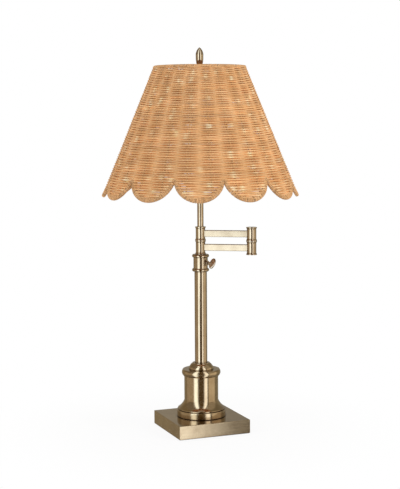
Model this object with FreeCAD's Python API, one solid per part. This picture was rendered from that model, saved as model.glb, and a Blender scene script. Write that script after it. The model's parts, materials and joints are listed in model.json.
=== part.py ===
import FreeCAD, Part
import math
import os

# Swing arm table lamp with a woven, scalloped shade. Lengths are millimetres and angles are degrees.
# +Z is up and the origin is the centre of the underside. The base's sides lie along X and Y.
# With the arms folded, the pole, the riser, the bulb and the shade all stand on the Z axis.

Vec = FreeCAD.Vector
Z_AXIS = Vec(0, 0, 1)

# Values that many pieces share
overrun = 3.0
running_gap = 0.05
loose_gap = 0.3
fold_gap = 0.6
round_edge_bulge_share = 0.2

# Directions at rest, measured from +X towards +Y
arm_angle = -31.4
screw_angle = -63.4
lobe_angle = 8.0

# Base: felt, iron weight and brass cover
base_width = 152.4
base_height = 28.2
base_wall = 1.5
base_edge_round = 0.8
felt_thickness = 2.0
felt_proud = 1.0
weight_gap = 0.2
nut_pocket_radius = 17.0
nut_pocket_depth = 12.0

# Cord bushing in the rear wall of the base
bushing_bore = 3.3
bushing_radius = 5.0
bushing_flange_radius = 7.2
bushing_flange = 1.6
bushing_length = 8.0
bushing_height = 13.0
cord_channel_width = 16.0
cord_channel_height = 20.0

# Hollow tie rod, its nut and its washer
rod_radius = 4.76
rod_bore = 3.2
rod_end = 1.0
nut_flats = 14.3
nut_height = 5.0
washer_radius = 12.0
washer_thickness = 1.6

# Pedestal: foot with a bell, barrel, ring and dome
foot_radius = 50.1
foot_height = 33.3
foot_flange = 14.2
foot_edge_round = 1.3
bell_start_radius = 47.6
bell_turn_radius = 48.3
bell_turn_height = 16.8
bell_turn_bulge_share = 0.12
bell_hollow_bulge_share = -0.08
foot_wall = 5.5
spigot_height = 3.0
spigot_wall = 1.4
barrel_radius = 34.8
barrel_height = 48.9
barrel_wall = 2.4
ring_radius = 39.6
ring_height = 14.6
ring_seat_radius = 35.6
ring_seat_height = 1.4
ring_lower_radius = 37.6
ring_lower_height = 2.6
ring_top_radius = 37.4
ring_plate = 4.0
dome_radius = 25.4
dome_height = 13.0
dome_foot_height = 1.6
dome_waist_radius = 22.4
dome_waist_height = 8.0
dome_lip_radius = 18.0
dome_lip_height = 1.0
dome_bulge_share = 0.08
pole_seat_depth = 9.8

# Outer pole, the plug at its foot and the guide bush at its head
pole_radius = 12.7
pole_wall = 1.2
pole_length = 222.4
plug_length = 15.0
guide_bush_length = 22.0

# Lock collar at the head of the pole
collar_height = 35.1
collar_radius = 14.6
collar_flange_radius = 17.4
collar_flange = 6.5
collar_flange_bulge_share = 0.35
collar_below_pole_head = 24.5
boss_radius = 5.9
boss_reach = 17.0

# Thumb screw and its pad
screw_radius = 2.4
screw_height_in_collar = 18.1
pad_thickness = 1.5
screw_shoulder_radius = 4.6
screw_shoulder = 3.0
screw_neck_radius = 2.5
paddle_reach = 31.8
paddle_length = 22.5
paddle_width = 13.6
paddle_thickness = 4.2
paddle_edge_round = 1.6
paddle_turn = 31.0

# Inner post, which slides in the pole
post_radius = 7.94
post_wall = 1.2
post_travel = 120.0
post_foot_length = 12.0
pivot_plug_length = 14.0

# Turned barrels at both ends of each arm
barrel_body_radius = 9.6
barrel_flare_radius = 10.8
barrel_length = 27.6
barrel_lip = 1.7
barrel_flare_length = 5.2
barrel_flare_bulge_share = -0.12
pin_radius = 4.9
pin_bore = 3.0
pin_nut_flats = 11.0
pin_nut_height = 3.5
pin_washer_thickness = 0.8
pin_pocket_radius = 6.9
pin_head_radius = 6.4
cap_thickness = 1.2

# Arms
arm_reach = 104.5
arm_height = 13.4
arm_width = 8.6
arm_wall = 1.2
arm_edge_round = 1.0
mortise_depth = 1.6

# Riser tube and what fastens it to the harp saddle and the socket
riser_radius = 6.35
riser_wall = 1.0
riser_depth = 14.0
riser_top = 533.4
nipple_bore = 3.2
nipple_down = 12.0
nipple_up = 12.0

# Harp: saddle, wire and sleeves
saddle_thickness = 1.6
saddle_width = 12.0
saddle_post_width = 8.0
saddle_post_height = 7.6
harp_wire_radius = 1.6
harp_leg_spread = 33.0
harp_half_width = 57.0
harp_peg_length = 8.0
harp_leg_length = 19.0
harp_top = 726.5
harp_top_flat = 6.0
harp_corner_radius = 20.0
harp_shoulder_turn = 55.0
harp_lower_bend_share = 0.36
sleeve_radius = 3.0
sleeve_length = 14.0
swivel_radius = 8.0
swivel_height = 7.0
stud_radius = 3.05
stud_length = 17.0

# Lamp socket
socket_hub_radius = 8.0
socket_hub_height = 5.0
socket_cap_radius = 17.0
socket_cap_height = 21.0
socket_cap_slope = 7.0
socket_cap_bulge_share = 0.12
socket_shell_radius = 16.2
socket_shell_top = 57.0
socket_shell_bottom = 17.0
socket_wall = 0.8
socket_bead_radius = 17.2
socket_bead_height = 2.4
liner_wall = 0.7
interior_height = 17.0
screw_shell_wall = 0.5
screw_shell_length = 24.0
contact_radius = 3.5
contact_height = 3.0
stem_radius = 2.0
stem_height_in_socket = 25.4
stem_seat = 8.0
stem_reach = 27.0
knob_radius = 5.2
knob_length = 11.0
knob_plain_share = 0.2
knob_grooves = 12
knob_groove_radius = 0.7
knob_edge_round = 0.8

# Bulb
bulb_base_radius = 12.9
bulb_base_height = 23.0
bulb_contact_radius = 5.0
bulb_contact_height = 2.0
bulb_radius = 30.0
bulb_neck_radius = 13.4
bulb_length = 108.0
bulb_glass_wall = 1.0
bulb_shoulder_share = 0.55
bulb_shoulder_bulge_share = -0.05

# Shade: woven wall, stakes, rolled borders and the wires inside them
shade_top = 740.5
shade_top_radius = 92.1
shade_slope = 0.411
shade_wall = 4.0
weave_rib_height = 1.7
lobe_count = 12
lobe_notch = 512.8
lobe_tip = 478.5
stakes_per_lobe = 2
stake_radius = 1.3
top_border_radius = 2.9
hem_border_radius = 2.7
frame_wire_radius = 1.4
spider_arms = 3
spider_hub_radius = 12.5
spider_hub_thickness = 1.6
spider_arm_radius = 1.5
spider_arm_start = 10.0

# Finial
finial_height = 44.9
finial_foot_radius = 5.2
finial_foot_height = 2.0
finial_neck_radius = 4.2
finial_neck_height = 5.0
finial_bud_radius = 7.6
finial_bud_height = 27.6
finial_bud_bulge_share = 0.045
finial_tip_bulge_share = 0.13
finial_tip_radius = 0.5

# Heights that follow from the sizes above
foot_bottom = base_height
barrel_bottom = foot_bottom + foot_height
ring_bottom = barrel_bottom + barrel_height
dome_bottom = ring_bottom + ring_height
pole_bottom = dome_bottom + dome_height - pole_seat_depth
pole_head = pole_bottom + pole_length
collar_bottom = pole_head - collar_below_pole_head
collar_top = collar_bottom + collar_height
post_top = collar_top + loose_gap
lower_barrel_bottom = post_top
lower_barrel_top = lower_barrel_bottom + barrel_length
upper_barrel_bottom = lower_barrel_top + fold_gap
upper_barrel_top = upper_barrel_bottom + barrel_length
saddle_top = riser_top + saddle_thickness
sleeve_bottom = saddle_top + saddle_post_height
harp_bottom = sleeve_bottom + harp_peg_length
swivel_top = harp_top + swivel_height / 2
finial_bottom = swivel_top + spider_hub_thickness
pole_inner = pole_radius - pole_wall
guide_bush_bottom = pole_head - guide_bush_length
post_foot_top = guide_bush_bottom - post_travel - loose_gap
post_bottom = post_foot_top - post_foot_length
screw_height = collar_bottom + screw_height_in_collar
pocket_depth = cap_thickness + fold_gap + pin_nut_height + pin_washer_thickness
interior_top = saddle_top + socket_shell_bottom + interior_height
screw_shell_radius = bulb_base_radius + loose_gap + screw_shell_wall
liner_radius = socket_shell_radius - socket_wall
bulb_bottom = interior_top + contact_height
parts = {}


def at(angle, reach=0, height=0):
    """The point at a polar angle, a distance from the Z axis and a height."""
    turn = math.radians(angle)
    return Vec(reach * math.cos(turn), reach * math.sin(turn), height)


def cylinder(radius, bottom, top, inner=0, centre=Vec(0, 0, 0)):
    """A round bar or tube along Z, standing at a point."""
    bar = Part.makeCylinder(radius, top - bottom, centre + Vec(0, 0, bottom))
    if inner > 0:
        bore = Part.makeCylinder(inner, top - bottom + 2 * overrun, centre + Vec(0, 0, bottom - overrun))
        bar = bar.cut(bore)
    return bar


def bar_between(start, end, radius):
    """A round bar between two points."""
    return Part.makeCylinder(radius, (end - start).Length, start, end - start)


def edges_through(steps, place):
    """Edges through a closed list of (a, b) or (a, b, bulge share of the chord), placed by a function."""
    edges = []
    for number, step in enumerate(steps):
        last = steps[number - 1]
        start, end = place(last[0], last[1]), place(step[0], step[1])
        if len(step) < 3:
            edges.append(Part.makeLine(start, end))
            continue
        run_a, run_b = step[0] - last[0], step[1] - last[1]
        middle = place((last[0] + step[0]) / 2 + run_b * step[2], (last[1] + step[1]) / 2 - run_a * step[2])
        edges.append(Part.Arc(start, middle, end).toShape())
    return edges


def turned(steps):
    """A solid turned about Z from (radius, height) steps that go up the outside and down the inside."""
    edges = edges_through(steps, lambda radius, height: Vec(radius, 0, height))
    return Part.Face(Part.Wire(edges)).revolve(Vec(0, 0, 0), Z_AXIS, 360)


def hexagon(flats, bottom, top, centre=Vec(0, 0, 0)):
    """A six-sided prism, given by its width across the flats."""
    corner = flats / math.sqrt(3)
    points = [centre + at(60 * side, corner, bottom) for side in range(7)]
    return Part.Face(Part.makePolygon(points)).extrude(Vec(0, 0, top - bottom))


def block(width, depth, bottom, top, centre_x=0, centre_y=0):
    """A box given by its width, depth and heights about a centre line."""
    return Part.makeBox(width, depth, top - bottom, Vec(centre_x - width / 2, centre_y - depth / 2, bottom))


def turned_to(shape, angle):
    """A copy of a shape turned about the Z axis."""
    copy = shape.copy()
    copy.rotate(Vec(0, 0, 0), Z_AXIS, angle)
    return copy


def together(shapes):
    """Several shapes fused into one solid."""
    return shapes[0].multiFuse(shapes[1:]) if len(shapes) > 1 else shapes[0]


def build_base():
    """Felt pad, iron weight, brass cover and the bushing that a cord would pass."""
    inner_width = base_width - 2 * base_wall
    roof = base_height - base_wall
    wall_face = base_width / 2
    parts["base_felt"] = block(inner_width - 2 * weight_gap, inner_width - 2 * weight_gap, 0, felt_thickness)

    cover = block(base_width, base_width, felt_proud, base_height)
    edges = [edge for edge in cover.Edges if edge.BoundBox.ZMax > base_height - base_edge_round]
    cover = cover.makeFillet(base_edge_round, edges)
    cover = cover.cut(block(inner_width, inner_width, felt_proud - overrun, roof))
    cover = cover.cut(cylinder(rod_radius + loose_gap, roof - overrun, base_height + overrun))
    hole_start = Vec(0, wall_face - base_wall - overrun, bushing_height)
    hole_end = Vec(0, wall_face + overrun, bushing_height)
    parts["base_shell"] = cover.cut(bar_between(hole_start, hole_end, bushing_radius))

    weight = block(inner_width - 2 * weight_gap, inner_width - 2 * weight_gap, felt_thickness, roof)
    weight = weight.cut(cylinder(rod_radius + loose_gap, felt_thickness - overrun, roof + overrun))
    pocket_top = felt_thickness + nut_pocket_depth
    weight = weight.cut(cylinder(nut_pocket_radius, felt_thickness - overrun, pocket_top))
    channel = block(cord_channel_width, wall_face + overrun, felt_thickness - overrun, cord_channel_height,
                    centre_y=(wall_face + overrun) / 2)
    parts["base_weight"] = weight.cut(channel)

    tip = Vec(0, wall_face + bushing_flange, bushing_height)
    neck = Vec(0, wall_face, bushing_height)
    tail = neck - Vec(0, bushing_length, 0)
    bushing = bar_between(tip, neck, bushing_flange_radius).fuse(bar_between(tail, neck, bushing_radius))
    bore = bar_between(tail - Vec(0, overrun, 0), tip + Vec(0, overrun, 0), bushing_bore)
    parts["cord_bushing"] = bushing.cut(bore)


def build_tie_rod():
    """The hollow rod that draws base, pedestal and pole together."""
    washer_top = felt_thickness + nut_pocket_depth
    nut_top = washer_top - washer_thickness
    nut_bottom = nut_top - nut_height
    rod_top = pole_bottom + plug_length
    parts["tie_rod"] = cylinder(rod_radius, nut_bottom - rod_end, rod_top, rod_bore)
    parts["rod_washer"] = cylinder(washer_radius, nut_top, washer_top, rod_radius)
    nut = hexagon(nut_flats, nut_bottom, nut_top)
    parts["rod_nut"] = nut.cut(cylinder(rod_radius, nut_bottom - overrun, nut_top + overrun))


def build_pedestal():
    """Foot with its bell, barrel, ring and dome, stacked on the base."""
    bell_start = foot_bottom + foot_flange
    bell_turn = foot_bottom + bell_turn_height
    barrel_inner = barrel_radius - barrel_wall
    spigot_inner = barrel_inner - spigot_wall
    parts["pedestal_foot"] = turned([
        (foot_radius - foot_wall, foot_bottom),
        (foot_radius - foot_edge_round, foot_bottom),
        (foot_radius, foot_bottom + foot_edge_round, round_edge_bulge_share),
        (foot_radius, bell_start - foot_edge_round),
        (foot_radius - foot_edge_round, bell_start, round_edge_bulge_share),
        (bell_start_radius, bell_start),
        (bell_turn_radius, bell_turn, bell_turn_bulge_share),
        (barrel_radius, barrel_bottom, bell_hollow_bulge_share),
        (barrel_inner, barrel_bottom),
        (barrel_inner, barrel_bottom + spigot_height),
        (spigot_inner, barrel_bottom + spigot_height),
        (spigot_inner, bell_turn),
        (foot_radius - foot_wall, bell_start - foot_edge_round),
    ])
    parts["pedestal_barrel"] = cylinder(barrel_radius, barrel_bottom, ring_bottom, barrel_inner)
    plate_bottom = dome_bottom - ring_plate
    bead_bulge = ring_radius - (ring_lower_radius + ring_top_radius) / 2
    bead_bulge_share = bead_bulge / (ring_height - ring_lower_height)
    parts["pedestal_ring"] = turned([
        (ring_seat_radius, ring_bottom),
        (ring_seat_radius, ring_bottom + ring_seat_height),
        (ring_lower_radius, ring_bottom + ring_lower_height),
        (ring_top_radius, dome_bottom, bead_bulge_share),
        (rod_radius + loose_gap, dome_bottom),
        (rod_radius + loose_gap, plate_bottom),
        (spigot_inner, plate_bottom),
        (spigot_inner, ring_bottom - spigot_height),
        (barrel_inner, ring_bottom - spigot_height),
        (barrel_inner, ring_bottom),
    ])
    dome_top = dome_bottom + dome_height
    parts["pedestal_dome"] = turned([
        (dome_radius, dome_bottom),
        (dome_radius, dome_bottom + dome_foot_height),
        (dome_waist_radius, dome_bottom + dome_waist_height, dome_bulge_share),
        (dome_lip_radius, dome_top - dome_lip_height, dome_bulge_share),
        (dome_lip_radius, dome_top),
        (pole_radius, dome_top),
        (pole_radius, pole_bottom),
        (rod_radius + loose_gap, pole_bottom),
        (rod_radius + loose_gap, dome_bottom),
    ])


def screw_bar(start_reach, end_reach, radius):
    """A round bar along the thumb screw's own axis."""
    start = at(screw_angle, start_reach, screw_height)
    return bar_between(start, at(screw_angle, end_reach, screw_height), radius)


def build_pole():
    """Pole, its plug, the bush that guides the post and the lock collar."""
    screw_way = screw_bar(0, pole_radius + overrun, screw_radius + running_gap)
    parts["pole"] = cylinder(pole_radius, pole_bottom, pole_head, pole_inner).cut(screw_way)
    parts["pole_plug"] = cylinder(pole_inner, pole_bottom, pole_bottom + plug_length, rod_radius)
    bush = cylinder(pole_inner, guide_bush_bottom, pole_head, post_radius + running_gap)
    parts["guide_bush"] = bush.cut(screw_way)

    edge = collar_flange_radius - collar_flange * collar_flange_bulge_share
    lower_top = collar_bottom + collar_flange
    upper_bottom = collar_top - collar_flange
    collar = turned([
        (edge, collar_bottom),
        (edge, lower_top, collar_flange_bulge_share),
        (collar_radius, lower_top),
        (collar_radius, upper_bottom),
        (edge, upper_bottom),
        (edge, collar_top, collar_flange_bulge_share),
        (post_radius + loose_gap, collar_top),
        (post_radius + loose_gap, pole_head),
        (pole_radius, pole_head),
        (pole_radius, collar_bottom),
    ])
    boss = screw_bar(pole_radius, boss_reach, boss_radius)
    boss = boss.cut(cylinder(pole_radius, collar_bottom, pole_head))
    collar = collar.fuse(boss)
    parts["lock_collar"] = collar.cut(screw_bar(0, boss_reach + overrun, screw_radius + running_gap))


def build_thumb_screw():
    """Screw with a flat oval paddle, and the pad between its tip and the post."""
    pad_start = post_radius + loose_gap
    pad_end = pad_start + pad_thickness
    parts["clamp_pad"] = screw_bar(pad_start, pad_end, screw_radius)

    shoulder_start = boss_reach + loose_gap
    shoulder_end = shoulder_start + screw_shoulder
    oval = Part.Ellipse(Vec(0, 0, 0), paddle_length / 2, paddle_width / 2).toShape()
    paddle = Part.Face(Part.Wire([oval])).extrude(Vec(0, 0, paddle_thickness))
    paddle.translate(Vec(0, 0, -paddle_thickness / 2))
    paddle = paddle.makeFillet(paddle_edge_round, [edge for edge in paddle.Edges if len(edge.Vertexes) == 1])
    paddle.rotate(Vec(0, 0, 0), Z_AXIS, 90)
    paddle.rotate(Vec(0, 0, 0), Vec(1, 0, 0), 90 - paddle_turn)
    paddle.rotate(Vec(0, 0, 0), Z_AXIS, screw_angle)
    paddle.translate(at(screw_angle, paddle_reach, screw_height))
    parts["thumb_screw"] = together([
        screw_bar(pad_end, shoulder_start, screw_radius),
        screw_bar(shoulder_start, shoulder_end, screw_shoulder_radius),
        screw_bar(shoulder_end, paddle_reach, screw_neck_radius),
        paddle,
    ])


def build_post():
    """Sliding post with its foot ring, and the pivot that the lower arm turns on."""
    post_inner = post_radius - post_wall
    floor = lower_barrel_top - pocket_depth
    nut_bottom = floor + pin_washer_thickness
    nut_top = nut_bottom + pin_nut_height
    parts["post"] = cylinder(post_radius, post_bottom, post_top, post_inner)
    foot_radius_outer = pole_inner - 2 * running_gap
    parts["post_foot"] = cylinder(foot_radius_outer, post_bottom, post_foot_top, post_radius)
    pivot = cylinder(post_inner, post_top - pivot_plug_length, post_top)
    pivot = pivot.fuse(cylinder(pin_radius, post_top, nut_top))
    parts["post_pivot"] = pivot.cut(cylinder(pin_bore, post_top - pivot_plug_length - overrun, nut_top + overrun))
    parts["pivot_washer"] = cylinder(pin_head_radius, floor, nut_bottom, pin_radius)
    nut = hexagon(pin_nut_flats, nut_bottom, nut_top)
    parts["pivot_nut"] = nut.cut(cylinder(pin_radius, nut_bottom - overrun, nut_top + overrun))


def spool(bottom, centre):
    """A turned barrel with a flared lip at each end."""
    top = bottom + barrel_length
    body = turned([
        (barrel_flare_radius, bottom),
        (barrel_flare_radius, bottom + barrel_lip),
        (barrel_body_radius, bottom + barrel_flare_length, barrel_flare_bulge_share),
        (barrel_body_radius, top - barrel_flare_length),
        (barrel_flare_radius, top - barrel_lip, barrel_flare_bulge_share),
        (barrel_flare_radius, top),
        (0, top),
        (0, bottom),
    ])
    body.translate(centre)
    return body


def arm_bar(bottom, elbow):
    """A hollow flat bar from the Z axis to the elbow, with rounded long edges."""
    middle = bottom + barrel_length / 2
    low, high = middle - arm_height / 2, middle + arm_height / 2
    bar = block(arm_reach, arm_width, low, high, centre_x=arm_reach / 2)
    long_edges = [edge for edge in bar.Edges if edge.BoundBox.XLength > arm_reach / 2]
    bar = bar.makeFillet(arm_edge_round, long_edges)
    hollow = block(arm_reach + 2 * overrun, arm_width - 2 * arm_wall, low + arm_wall, high - arm_wall,
                   centre_x=arm_reach / 2)
    whole = turned_to(bar, arm_angle)
    for centre in (Vec(0, 0, 0), elbow):
        whole = whole.cut(cylinder(barrel_body_radius - mortise_depth, low - overrun, high + overrun,
                                   centre=centre))
    return whole, whole.cut(turned_to(hollow, arm_angle))


def build_lower_arm(elbow):
    """Lower arm with the barrel that turns on the post and the fixed half of the elbow."""
    mortise, parts["lower_arm"] = arm_bar(lower_barrel_bottom, elbow)
    floor = lower_barrel_top - pocket_depth
    cap_bottom = lower_barrel_top - cap_thickness
    knuckle = spool(lower_barrel_bottom, Vec(0, 0, 0)).cut(mortise)
    knuckle = knuckle.cut(cylinder(pin_radius + running_gap, lower_barrel_bottom - overrun, floor + overrun))
    parts["lower_knuckle"] = knuckle.cut(cylinder(pin_pocket_radius, floor, lower_barrel_top + overrun))
    parts["lower_knuckle_cap"] = cylinder(pin_pocket_radius, cap_bottom, lower_barrel_top)

    half = spool(lower_barrel_bottom, elbow).cut(mortise)
    head_bottom = lower_barrel_bottom
    head_top = head_bottom + pin_nut_height
    half = half.cut(cylinder(pin_radius, lower_barrel_bottom, lower_barrel_top + overrun, centre=elbow))
    parts["elbow_lower"] = half.cut(cylinder(pin_head_radius, lower_barrel_bottom - overrun, head_top,
                                             centre=elbow))
    nut_top = upper_barrel_top - cap_thickness - fold_gap
    pin = cylinder(pin_head_radius, head_bottom, head_top, centre=elbow)
    pin = pin.fuse(cylinder(pin_radius, head_top, nut_top, centre=elbow))
    parts["elbow_pin"] = pin.cut(cylinder(pin_bore, head_bottom - overrun, nut_top + overrun, centre=elbow))
    parts["elbow_washer"] = cylinder(barrel_body_radius, lower_barrel_top, upper_barrel_bottom, pin_radius,
                                     elbow)
    nut_bottom = nut_top - pin_nut_height
    nut = hexagon(pin_nut_flats, nut_bottom, nut_top, elbow)
    parts["elbow_nut"] = nut.cut(cylinder(pin_radius, nut_bottom - overrun, nut_top + overrun, centre=elbow))
    parts["elbow_nut_washer"] = cylinder(pin_head_radius, nut_bottom - pin_washer_thickness, nut_bottom,
                                         pin_radius, elbow)


def build_upper_arm(elbow):
    """Upper arm with the turning half of the elbow and the knuckle that holds the riser."""
    mortise, parts["upper_arm"] = arm_bar(upper_barrel_bottom, elbow)
    floor = upper_barrel_top - pocket_depth
    half = spool(upper_barrel_bottom, elbow).cut(mortise)
    half = half.cut(cylinder(pin_radius + running_gap, upper_barrel_bottom - overrun, floor + overrun,
                             centre=elbow))
    parts["elbow_upper"] = half.cut(cylinder(pin_pocket_radius, floor, upper_barrel_top + overrun,
                                             centre=elbow))
    parts["elbow_top_cap"] = cylinder(pin_pocket_radius, upper_barrel_top - cap_thickness, upper_barrel_top,
                                      centre=elbow)

    riser_bottom = upper_barrel_top - riser_depth
    knuckle = spool(upper_barrel_bottom, Vec(0, 0, 0)).cut(mortise)
    knuckle = knuckle.cut(cylinder(riser_radius, riser_bottom, upper_barrel_top + overrun))
    way_bottom = upper_barrel_bottom + cap_thickness
    parts["upper_knuckle"] = knuckle.cut(cylinder(riser_radius - riser_wall, way_bottom, riser_bottom))
    parts["riser_tube"] = cylinder(riser_radius, riser_bottom, riser_top, riser_radius - riser_wall)
    plug = cylinder(riser_radius - riser_wall, riser_top - nipple_down, riser_top)
    nipple = plug.fuse(cylinder(rod_radius, riser_top, saddle_top + nipple_up))
    parts["riser_nipple"] = nipple.cut(cylinder(nipple_bore, riser_top - nipple_down - overrun,
                                                saddle_top + nipple_up + overrun))


def harp_path():
    """Centre line of the harp wire from one leg's end over the top to the other's."""
    leg_top = harp_bottom + harp_leg_length
    turn = math.radians(harp_shoulder_turn)
    inward = harp_half_width - harp_top_flat - harp_corner_radius * math.cos(turn)
    shoulder_radius = inward / (1 - math.cos(turn))
    rise = shoulder_radius * math.sin(turn) + harp_corner_radius * (1 - math.sin(turn))
    widest = harp_top - rise
    spread, climb = harp_half_width - harp_leg_spread, widest - leg_top
    flare = 2 * math.atan2(spread, climb)
    bends = climb / math.sin(flare)
    first = bends * harp_lower_bend_share
    second = bends - first

    def arc(side, centre_x, centre_z, radius, start, end):
        points = [start + (end - start) * share for share in (0, 0.5, 1)]
        spots = [Vec(side * (centre_x + radius * math.cos(angle)), 0, centre_z + radius * math.sin(angle))
                 for angle in points]
        return Part.Arc(*spots).toShape()

    def half(side):
        shoulder_x = harp_half_width - shoulder_radius
        corner_z = harp_top - harp_corner_radius
        return [
            Part.makeLine(Vec(side * harp_leg_spread, 0, harp_bottom), Vec(side * harp_leg_spread, 0, leg_top)),
            arc(side, harp_leg_spread + first, leg_top, first, math.pi, math.pi - flare),
            arc(side, harp_half_width - second, widest, second, -flare, 0),
            arc(side, shoulder_x, widest, shoulder_radius, 0, turn),
            arc(side, harp_top_flat, corner_z, harp_corner_radius, turn, math.pi / 2),
        ]

    bridge = Part.makeLine(Vec(harp_top_flat, 0, harp_top), Vec(-harp_top_flat, 0, harp_top))
    return Part.Wire(Part.__sortEdges__(half(1) + [bridge] + half(-1)))


def build_harp():
    """Saddle, wire loop, the sleeves that lock its legs and the swivel with its stud."""
    path = harp_path()
    section = Part.Wire([Part.makeCircle(harp_wire_radius, Vec(harp_leg_spread, 0, harp_bottom), Z_AXIS)])
    parts["harp"] = path.makePipeShell([section], True, False)

    strip = block(2 * harp_leg_spread + saddle_post_width, saddle_width, riser_top, saddle_top)
    strip = strip.cut(cylinder(rod_radius, riser_top - overrun, saddle_top + overrun))
    pieces = [strip]
    for side in (-1, 1):
        centre = Vec(side * harp_leg_spread, 0, 0)
        pieces.append(block(saddle_post_width, saddle_post_width, saddle_top, sleeve_bottom, centre.x))
        pieces.append(cylinder(harp_wire_radius, sleeve_bottom, harp_bottom, centre=centre))
        name = "harp_sleeve_left" if side < 0 else "harp_sleeve_right"
        parts[name] = cylinder(sleeve_radius, sleeve_bottom, sleeve_bottom + sleeve_length,
                               harp_wire_radius + running_gap, centre)
    parts["harp_saddle"] = together(pieces)

    swivel = cylinder(swivel_radius, swivel_top - swivel_height, swivel_top)
    swivel = swivel.fuse(cylinder(stud_radius, swivel_top, swivel_top + stud_length))
    reach = harp_top_flat + harp_corner_radius
    tunnel = bar_between(Vec(-reach, 0, harp_top), Vec(reach, 0, harp_top), harp_wire_radius)
    parts["harp_swivel"] = swivel.cut(tunnel).cut(parts["harp"])


def build_socket():
    """Socket cap and shell, the insulating liner, the switch body and its metal contacts."""
    bottom = saddle_top
    hub_top = bottom + socket_hub_height
    slope_top = hub_top + socket_cap_slope
    cap_top = bottom + socket_cap_height
    shell_bottom = bottom + socket_shell_bottom
    shell_top = bottom + socket_shell_top
    shell_inner = socket_shell_radius - socket_wall
    parts["socket_cap"] = turned([
        (socket_hub_radius, bottom),
        (socket_hub_radius, hub_top),
        (socket_cap_radius, slope_top, socket_cap_bulge_share),
        (socket_cap_radius, cap_top),
        (socket_shell_radius, cap_top),
        (socket_shell_radius, shell_bottom),
        (shell_inner, shell_bottom),
        (rod_radius + socket_wall, hub_top + socket_wall),
        (rod_radius, hub_top),
        (rod_radius, bottom),
    ])
    stem_height = bottom + stem_height_in_socket
    stem_way = bar_between(Vec(0, 0, stem_height), Vec(0, -stem_reach, stem_height), stem_radius + loose_gap)
    shell = turned([
        (socket_shell_radius, shell_bottom),
        (socket_shell_radius, shell_top - socket_bead_height),
        (socket_bead_radius, shell_top - socket_bead_height / 2, round_edge_bulge_share),
        (socket_shell_radius, shell_top, round_edge_bulge_share),
        (shell_inner, shell_top),
        (shell_inner, shell_bottom),
    ])
    parts["socket_shell"] = shell.cut(stem_way)
    liner = cylinder(liner_radius, shell_bottom, shell_top - socket_bead_height / 2, liner_radius - liner_wall)
    parts["socket_liner"] = liner.cut(stem_way)
    interior = cylinder(liner_radius - liner_wall, interior_top - interior_height, interior_top)
    stem_hole = bar_between(Vec(0, -stem_seat, stem_height), Vec(0, -stem_reach, stem_height),
                            stem_radius + running_gap)
    parts["socket_interior"] = interior.cut(stem_hole)
    parts["screw_shell"] = cylinder(screw_shell_radius, interior_top, interior_top + screw_shell_length,
                                    screw_shell_radius - screw_shell_wall)
    parts["centre_contact"] = cylinder(contact_radius, interior_top, bulb_bottom)


def build_switch():
    """Turn switch: a stem in the socket's switch body, with a grooved knob on it."""
    height = saddle_top + stem_height_in_socket
    stem_end = stem_reach + knob_length / 2
    parts["switch_stem"] = bar_between(Vec(0, -stem_seat, height), Vec(0, -stem_end, height), stem_radius)
    knob_start, knob_end = Vec(0, -stem_reach, height), Vec(0, -stem_reach - knob_length, height)
    knob = bar_between(knob_start, knob_end, knob_radius)
    knob = knob.makeFillet(knob_edge_round, [edge for edge in knob.Edges if len(edge.Vertexes) == 1])
    groove_start = knob_start + Vec(0, -knob_length * knob_plain_share, 0)
    for number in range(knob_grooves):
        turn = math.radians(360 * number / knob_grooves)
        side = Vec(knob_radius * math.cos(turn), 0, knob_radius * math.sin(turn))
        knob = knob.cut(bar_between(groove_start + side, knob_end + side - Vec(0, overrun, 0),
                                    knob_groove_radius))
    parts["switch_knob"] = knob.cut(parts["switch_stem"])


def build_bulb():
    """Bulb: tip contact, screw base and a thin glass envelope with an open neck."""
    base_bottom = bulb_bottom + bulb_contact_height
    glass_bottom = base_bottom + bulb_base_height
    parts["bulb_contact"] = cylinder(bulb_contact_radius, bulb_bottom, base_bottom)
    base_wall_radius = bulb_base_radius - screw_shell_wall
    base = cylinder(bulb_base_radius, base_bottom, glass_bottom)
    parts["bulb_base"] = base.cut(cylinder(base_wall_radius, base_bottom + bulb_contact_height,
                                           glass_bottom + overrun))
    ball_centre = bulb_bottom + bulb_length - bulb_radius
    shoulder = glass_bottom + (ball_centre - glass_bottom) * bulb_shoulder_share
    drop = ball_centre - shoulder

    def skin(inset):
        ball = bulb_radius - inset
        neck = bulb_neck_radius - inset
        join = math.sqrt(ball ** 2 - drop ** 2)
        turn = (math.asin(-drop / ball) + math.pi / 2) / 2
        middle = Vec(ball * math.cos(turn), 0, ball_centre + ball * math.sin(turn))
        crown = Part.Arc(Vec(join, 0, shoulder), middle, Vec(0, 0, ball_centre + ball)).toShape()
        run_r, run_z = join - neck, shoulder - glass_bottom
        waist = Vec((neck + join) / 2 + run_z * bulb_shoulder_bulge_share, 0,
                    (glass_bottom + shoulder) / 2 - run_r * bulb_shoulder_bulge_share)
        side = Part.Arc(Vec(neck, 0, glass_bottom), waist, Vec(join, 0, shoulder)).toShape()
        axis_line = Part.makeLine(Vec(0, 0, ball_centre + ball), Vec(0, 0, glass_bottom))
        floor = Part.makeLine(Vec(0, 0, glass_bottom), Vec(neck, 0, glass_bottom))
        return Part.Face(Part.Wire([floor, side, crown, axis_line])).revolve(Vec(0, 0, 0), Z_AXIS, 360)

    parts["bulb_glass"] = skin(0).cut(skin(bulb_glass_wall))


def shade_radius(height, inset=0):
    """The woven wall's radius at a height, or that of a surface inside it."""
    return shade_top_radius + shade_slope * (shade_top - height) - inset


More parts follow.
